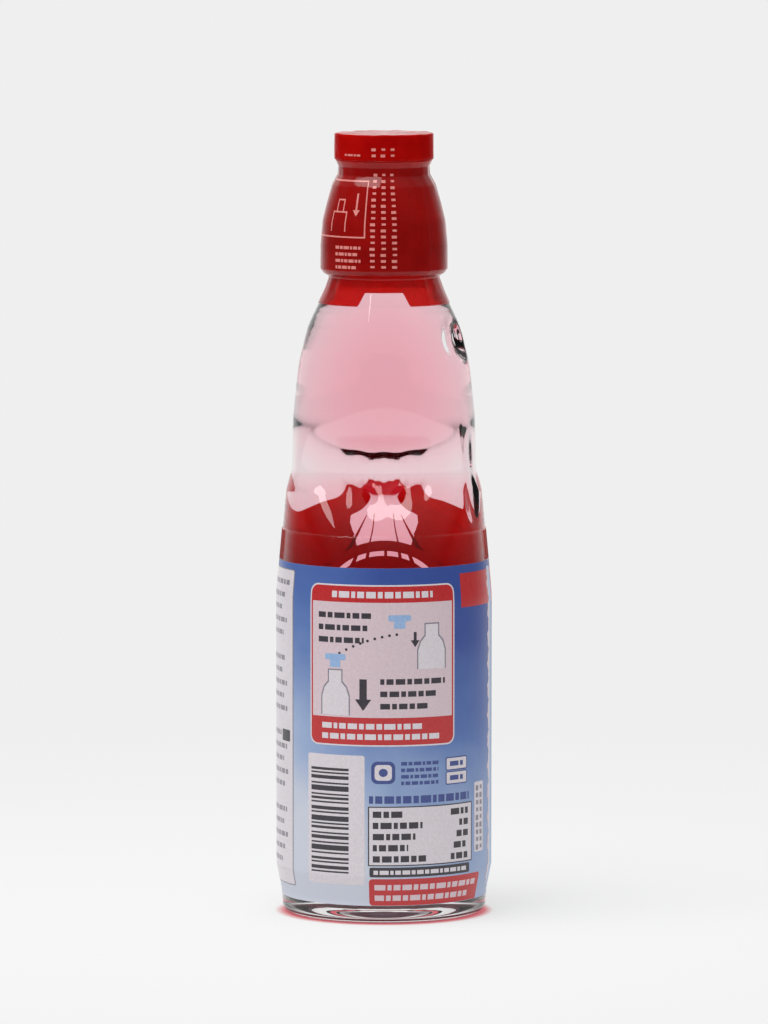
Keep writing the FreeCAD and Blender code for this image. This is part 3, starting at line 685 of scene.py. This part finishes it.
put("white", 1, block(*STRIPED, 0.6))
stripe_foot = 13.7
for n in range(STRIPES):
    tall = STRIPE_TALL[n % len(STRIPE_TALL)]
    put("black", 2, block(STRIPE_LEFT, stripe_foot, STRIPE_RIGHT, stripe_foot + tall))
    stripe_foot += tall + STRIPE_GAP[n % len(STRIPE_GAP)]
put("navy", 1, block(*RING_MARK, 1.6))
put("white", 2, block(*inside(RING_MARK, 0.9), 1.0))
put("navy", 3, disc(-0.2, 41.0, 2.4, 2.2))
for line in range(4):
    put("navy", 1, *dashes(4.6, 15.2, 42.9 - 1.75 * line, 0.95, line, 0.7))
for foot in (40.9, 37.1):
    small_box = (17.5, foot, 25.2, foot + 3.6)
    put("navy", 1, block(*small_box, 0.5))
    put("white", 2, block(*inside(small_box, 0.3), 0.3))
    put("navy", 3, *dashes(18.9, 23.9, foot + 1.15, 1.3, 2))


# The table, its head, the two bands at the foot and a slip of short bars

TABLE, TABLE_FIELD = (-4.3, 15.9, 27.3, 31.9), (-3.95, 16.2, 26.95, 31.6)
TABLE_LINES, TABLE_TOP, TABLE_PITCH, TABLE_TALL = 5, 28.9, 3.0, 1.7
BLACK_BAND, RED_BAND, SLIP = (-3.9, 12.9, 26.2, 15.5), (-4.1, 5.1, 31.5, 12.4), (28.6, 17.9, 33.4, 36.8)

put("navy", 1, *dashes(-4.0, 26.0, 32.7, 2.0, 3))
put("black", 1, block(*TABLE))
put("white", 2, block(*TABLE_FIELD))
for line in range(TABLE_LINES):
    foot = TABLE_TOP - TABLE_PITCH * line
    put("black", 3, *dashes(-3.0, 5.5 + (line * 5) % 7, foot, TABLE_TALL, line))
    put("black", 3, *dashes(19.2 + (line * 3) % 4, 25.6, foot, TABLE_TALL, line + 2))
put("black", 1, block(*BLACK_BAND, 0.4))
put("white", 2, *dashes(-2.8, 25.0, 13.6, 1.1, 1, 0.8))
put("red", 1, block(*RED_BAND, 1.0))
put("pale", 2, *dashes(-2.6, 29.6, 9.3, LINE_TALL, 2), *dashes(-2.6, 26.5, 6.4, LINE_TALL, 5))
put("white", 1, block(*SLIP, 0.4))
put("grey", 2, *columns((29.3, 31.3), 1.3, 19.5, 35.8, 2.0, 1.4))


# The lapped seam of the sleeve on the right, with an uneven edge, and a red patch beside it

LAP_EDGE, LAP_LEFT, LAP_RIGHT = 37.4, 38.6, 41.0
LAP_HEIGHTS = np.arange(8.0, 95.0, 1.0)

put("pale", 4, [(z, LAP_EDGE + 0.5 * math.sin(0.9 * z) + 0.4 * math.sin(2.3 * z), LAP_LEFT)
                for z in LAP_HEIGHTS])
put("blue", 3, [(z, LAP_LEFT, LAP_RIGHT) for z in LAP_HEIGHTS])
put("red", 1, block(22.9, 84.3, RED_FROM, 93.4))


# The white panel on the left, full of fine lines

LEFT_PANEL, LEFT_FIELD = (-52.2, 8.7, -28.7, 93.9), (-51.9, 9.0, -29.1, 93.6)
FINE_LINES, FINE_TOP, FINE_PITCH, FINE_TALL, FINE_GROUP = 23, 89.6, 3.4, 1.3, 6

put("grey", 1, block(*LEFT_PANEL, 0.8))
put("white", 2, block(*LEFT_FIELD, 0.6))
for line in range(FINE_LINES):
    if line % FINE_GROUP != FINE_GROUP - 1:
        right = -31.2 - (line * 7) % 5
        put("grey", 3, *dashes(-50.6, right, FINE_TOP - FINE_PITCH * line, FINE_TALL, line))
put("black", 3, block(-35.2, 47.5, -30.4, 50.6, 0.3))


# Bubbles, a white line and a red foot on the far side

BUBBLES, BUBBLE_RIM = 13, 0.9

for n in range(BUBBLES):
    arc, height, size = 62.0 + (n * 37) % 58, 18.0 + (n * 23) % 52, 3.0 + (n * 5) % 7
    put("pale", 1, disc(arc, height, size, size))
    put("blue", 2, disc(arc, height, size - BUBBLE_RIM, size - BUBBLE_RIM))
put("white", 1, block(RED_FROM, RED_FOOT - 1.0, RED_TO, RED_FOOT))
put("red", 1, block(60.0, 5.1, 122.0, 11.0, 1.0))

for ink, (finish, dark, light) in INKS.items():
    printed("label_ink_" + ink, kept[ink], sleeve_surface, SLEEVE_R, gravure_ink(finish, dark, light),
            "bottle")


# The red round the back, with a bare oval sun crossed by rays and a line of bare bars under it

BACK = math.pi * SLEEVE_R
RED_TOP, RED_GLOW, RED_FADE = SLEEVE_TOP - 0.3, 0.80, (82, 104)
RED_PRINT = [(0.0, "#c4222c"), (0.5, "#dc2a2c"), (1.0, "#f04a34")]
BARS_FOOT, BARS_TOP, BARS_HALF, BARS_SIZE = 88.2, 89.0, 10.0, 1.3
SUN = [                         # height and half width
    (90.8, 6.6), (92.0, 7.3), (94.0, 8.5), (96.0, 9.6), (97.6, 9.6), (98.8, 7.0), (99.6, 4.0), (99.9, 0.5),
]
SUN_FOOT, SUN_TOP = SUN[0][0], SUN[-1][0]
RAYS = ((3.4, 0.4), (7.6, 1.0))                     # place and width at the foot
RAY_LEAN, RAY_TIP, RAY_TOP = 0.72, 0.3, 96.6
SIDE_FROM, SIDE_FOOT = 38.0, 95.8

bars = dashes(BACK - BARS_HALF, BACK + BARS_HALF, BARS_FOOT, BARS_TOP - BARS_FOOT, 2, BARS_SIZE)
edges = [RED_FROM] + [end for rows in bars for end in rows[0][1:]] + [RED_TO]
back_red = [
    block(RED_FROM, RED_FOOT, RED_TO, BARS_FOOT),
    block(RED_FROM, BARS_TOP, RED_TO, SUN_FOOT),
    block(RED_FROM, SUN_TOP, RED_TO, RED_TOP),
    [(z, RED_FROM, BACK - half) for z, half in SUN],
    [(z, BACK + half, RED_TO) for z, half in SUN],
]
back_red += [block(left, BARS_FOOT, right, BARS_TOP) for left, right in zip(edges[::2], edges[1::2])]
back_red += [block(SIDE_FROM, SIDE_FOOT, RED_FROM, RED_TOP),
             block(RED_TO, SIDE_FOOT, 2 * BACK - SIDE_FROM, RED_TOP)]
for near, wide in RAYS:
    for side in (-1, 1):
        ends = [BACK + side * near, BACK + side * (near + wide)]
        tips = [BACK + side * near * RAY_LEAN, BACK + side * (near * RAY_LEAN + RAY_TIP)]
        back_red.append([(SUN_FOOT, min(ends), max(ends)), (RAY_TOP, min(tips), max(tips))])
printed("label_back_red", [(rows, 1) for rows in back_red], sleeve_surface, SLEEVE_R,
        printed_film("red_printed_film", *RED_FADE, RED_PRINT, RED_GLOW), "bottle")


# Marks on the red film: an open frame, a figure and an arrow in it, columns of short bars and fine lines

CAP_R = 17.1
FRAME = [(-24.0, 182.6, -5.2, 183.0), (-5.6, 183.0, -5.2, 197.4), (-24.0, 197.4, -5.2, 197.8)]
FIGURE = [
    (-17.2, 184.2, -16.8, 189.2), (-11.8, 184.2, -11.4, 189.2), (-17.2, 189.2, -11.4, 189.6),
    (-15.8, 189.6, -15.4, 192.4), (-13.2, 189.6, -12.8, 192.4), (-15.8, 192.4, -12.8, 192.8),
]
BAR_PITCH, BAR_TALL, FINE_SIZE = 1.62, 0.75, 0.6

film_ink = gravure_ink("pale_film_ink", "#cc746e", "#d6847e")
film_marks = [block(*box) for box in FRAME + FIGURE]
film_marks += [stack(-8.4, [(188.4, 0.1), (190.0, 2.2)]), block(-8.7, 190.0, -8.1, 194.4)]
film_marks += columns((-3.9, -0.9, 2.1), 1.4, 174.6, 199.6, BAR_PITCH, BAR_TALL)
for line in range(4):
    film_marks += dashes(-14.6, -6.4 - line % 2, 179.6 - 1.75 * line, 0.8, line, FINE_SIZE)
printed("film_marks", [(rows, 2) for rows in film_marks], film_surface, CAP_R, film_ink, "cap")

top_marks = columns((-3.4, -0.9, 1.6), 1.2, 203.6, 206.4, BAR_PITCH, BAR_TALL)
top_marks += dashes(-12.0, -6.6, 204.2, 0.5, 1, FINE_SIZE)
printed("film_top_marks", [(rows, 1) for rows in top_marks], lambda angle, z: TOP_R + 0.0 * angle, TOP_R,
        film_ink, "seal")


# The cap under the film

CAP_STEP = 1.5
CAP = [
    (14.65, 172.7, 0), (16.05, 172.7, 0), (16.85, 173.5, 0.4), (16.85, 180.0, 8), (16.25, 186.5, 8),
    (15.0, 191.5, 8), (13.7, 196.0, 1.5), (12.05, 198.9, 0.8), (11.9, 201.0, 0.2), (7.0, 201.0, 0.3),
    (7.0, 197.1, 0), (12.9, 197.1, 0), (13.25, 193.6, 0.2), (14.3, 190.6, 0.3), (14.65, 189.0, 0.3),
]
make("mouth_cap_moulded", turned(*spun(divided(rounded(CAP + CAP[:1]), CAP_STEP)[:-1]), True),
     [moulded("moulded_red_polyethylene", "#8c1012", "#a01618", 0.36, 1.51, 0.5)],
     "cap", ["mouth_cap"])


# Pieces that keep their own solids. The marble's glass has a breath of green

FINISHES = {
    "marble": moulded_glass("pressed_marble_glass", "#e9f6f2", GLASS_INDEX, 6, 0.03),
    "gasket": moulded("moulded_nitrile_rubber", "#141414", "#222222", 0.60, 1.52, 0.0),
    "spacer_ring": moulded("moulded_natural_polypropylene", "#dfe2e2", "#eff0ee", 0.34, 1.49, 0.4),
    "pusher": moulded("moulded_pale_polypropylene", "#dbe3ea", "#edf1f3", 0.32, 1.49, 0.3),
}
for node, finish in FINISHES.items():
    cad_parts[node].data.materials.clear()
    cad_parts[node].data.materials.append(finish)


# The floor, in metres

PAPER_COLOUR, CAUSTIC_PAINT_COLOUR = "#efefef", "#d8606a"
PAPER = linear(PAPER_COLOUR)[0]
FLOOR = 0.7
SHADE_FROM, SHADE_TO, SHADE = 0.05, 0.40, 0.30      # shadows show near the bottle and fade further off
# a painted caustic: the paper glows pink close round the bottle's foot, as if lit through the drink
CAUSTIC_PAINT_SPAN, CAUSTIC_PAINT_FULL, CAUSTIC_PAINT_END = 0.036, 0.755, 0.82


def matt_paper():
    """A sweep of matt paper: even and pale with a faint fibre, a soft shadow, and a painted pink caustic
    from the drink.
    """
    material, tree, place = new_finish("matt_paper")
    far = add(tree, "VectorMath", {"operation": "LENGTH"}, {0: place}).outputs["Value"]
    near = add(tree, "MapRange", {
        "From Min": SHADE_FROM, "From Max": SHADE_TO, "To Min": SHADE, "To Max": 0.0,
    }, {"Value": far})
    # The fibre, drawn coarse to show
    fibre = add(tree, "TexNoise", {"Scale": per_mm(1.5), "Detail": 3.0}, {"Vector": place})
    tone = add(tree, "ValToRGB", {"stops": [(0.2, "#ededed"), (0.8, "#f3f3f3")]}, {"Fac": fibre})
    # Painted light: a pink caustic from the drink, painted into the paper's glow round the bottle's foot
    under = add(tree, "MapRange", {"From Min": 0.0, "From Max": CAUSTIC_PAINT_SPAN}, {"Value": far})
    painted_caustic = add(tree, "ValToRGB", {
        "stops": [(0.0, CAUSTIC_PAINT_COLOUR), (CAUSTIC_PAINT_FULL, CAUSTIC_PAINT_COLOUR), (CAUSTIC_PAINT_END, PAPER_COLOUR)],
    }, {"Fac": under})
    glow = add(tree, "Emission", {"Strength": 1.0}, {"Color": painted_caustic})
    paper = add(tree, "BsdfDiffuse", None, {"Color": tone})
    mixed = add(tree, "MixShader", None, {0: near, 1: glow, 2: paper})
    add(tree, "OutputMaterial", None, {"Surface": mixed})
    return material


floor_mesh = bpy.data.meshes.new("floor")
floor_mesh.from_pydata([(-FLOOR, -FLOOR, 0), (FLOOR, -FLOOR, 0), (FLOOR, FLOOR, 0), (-FLOOR, FLOOR, 0)],
                       [], [(0, 1, 2, 3)])
floor_mesh.materials.append(matt_paper())
floor = bpy.data.objects.new("floor", floor_mesh)
bpy.context.scene.collection.objects.link(floor)


# Light: a pale room that glass and gloss see as brighter behind than in front, with dark flags at the sides

SOFT_LIGHT = 0.80
DIM_FRONT, DIM_SIDES, DIM_TO = 0.34, 0.50, -0.15        # the room through glass
DARK_FRONT, DARK_SIDES, DARK_TO = 0.08, 0.15, 0.20      # the room in gloss
FRONT_FROM, FLAGS_FROM, FLAGS_TO = -0.80, 0.50, 0.90

world = bpy.data.worlds.new("studio")
bpy.context.scene.world = world
world.use_nodes = True
tree = world.node_tree
tree.nodes.clear()
path = add(tree, "LightPath").outputs
toward = add(tree, "SeparateXYZ", None, {"Vector": add(tree, "TexCoord").outputs["Generated"]}).outputs
aside = add(tree, "Math", {"operation": "ABSOLUTE"}, {0: toward["X"]})


def room(front, sides, bright_from):
    """The level of the room in a direction: paper behind, this level in front and less at the sides."""
    depth = add(tree, "MapRange", {
        "From Min": FRONT_FROM, "From Max": bright_from, "To Min": front, "To Max": PAPER,
    }, {"Value": toward["Y"]})
    flags = add(tree, "MapRange", {
        "From Min": FLAGS_FROM, "From Max": FLAGS_TO, "To Min": 1.0, "To Max": sides,
    }, {"Value": aside})
    return add(tree, "Math", {"operation": "MULTIPLY"}, {0: depth, 1: flags})


mirrored = add(tree, "Math", {"operation": "MAXIMUM"},
               {0: path["Is Glossy Ray"], 1: path["Is Transmission Ray"]})
seen = add(tree, "Mix", {"data_type": "FLOAT"}, {
    0: path["Is Glossy Ray"],
    2: room(DIM_FRONT, DIM_SIDES, DIM_TO),
    3: room(DARK_FRONT, DARK_SIDES, DARK_TO),
})
lit = add(tree, "Mix", {"data_type": "FLOAT", 2: SOFT_LIGHT}, {0: mirrored, 3: seen})
level = add(tree, "Mix", {"data_type": "FLOAT", 3: PAPER}, {0: path["Is Camera Ray"], 2: lit})
add(tree, "OutputWorld", None, {"Surface": add(tree, "Background", None, {"Color": level})})


def soft_box(name, place, aim, size, watts):
    """A square soft box lamp at a place, turned to an aim."""
    lamp = bpy.data.lights.new(name, "AREA")
    lamp.size = size
    lamp.energy = watts
    box = bpy.data.objects.new(name, lamp)
    box.location = place
    box.rotation_euler = (Vector(aim) - Vector(place)).to_track_quat("-Z", "Y").to_euler()
    box.visible_transmission = False
    bpy.context.scene.collection.objects.link(box)


soft_box("top_box", place=(-0.35, -0.25, 1.1), aim=(0, 0, 0.1), size=0.7, watts=8)


# Camera, at the photograph's height and tilt

CAMERA_BACK, CAMERA_HIGH, CAMERA_DOWN = 2.216, 0.329, 5.698
FOCAL_PIXELS, PICTURE_HIGH = 8284, 1024

camera = bpy.data.objects.new("camera", bpy.data.cameras.new("camera"))
camera.location = (0, -CAMERA_BACK, CAMERA_HIGH)
camera.rotation_euler = (math.radians(90 - CAMERA_DOWN), 0, 0)
camera.data.lens = camera.data.sensor_width * FOCAL_PIXELS / PICTURE_HIGH
bpy.context.scene.collection.objects.link(camera)
bpy.context.scene.camera = camera


# Enough bounces for light to pass glass, drink, film and print

GLASS_BOUNCES, FILM_BOUNCES = 24, 32

scene = bpy.context.scene
scene.view_settings.view_transform = "Standard"
scene.cycles.max_bounces = GLASS_BOUNCES
scene.cycles.transmission_bounces = GLASS_BOUNCES
scene.cycles.transparent_max_bounces = FILM_BOUNCES
world.cycles.sampling_method = "NONE"
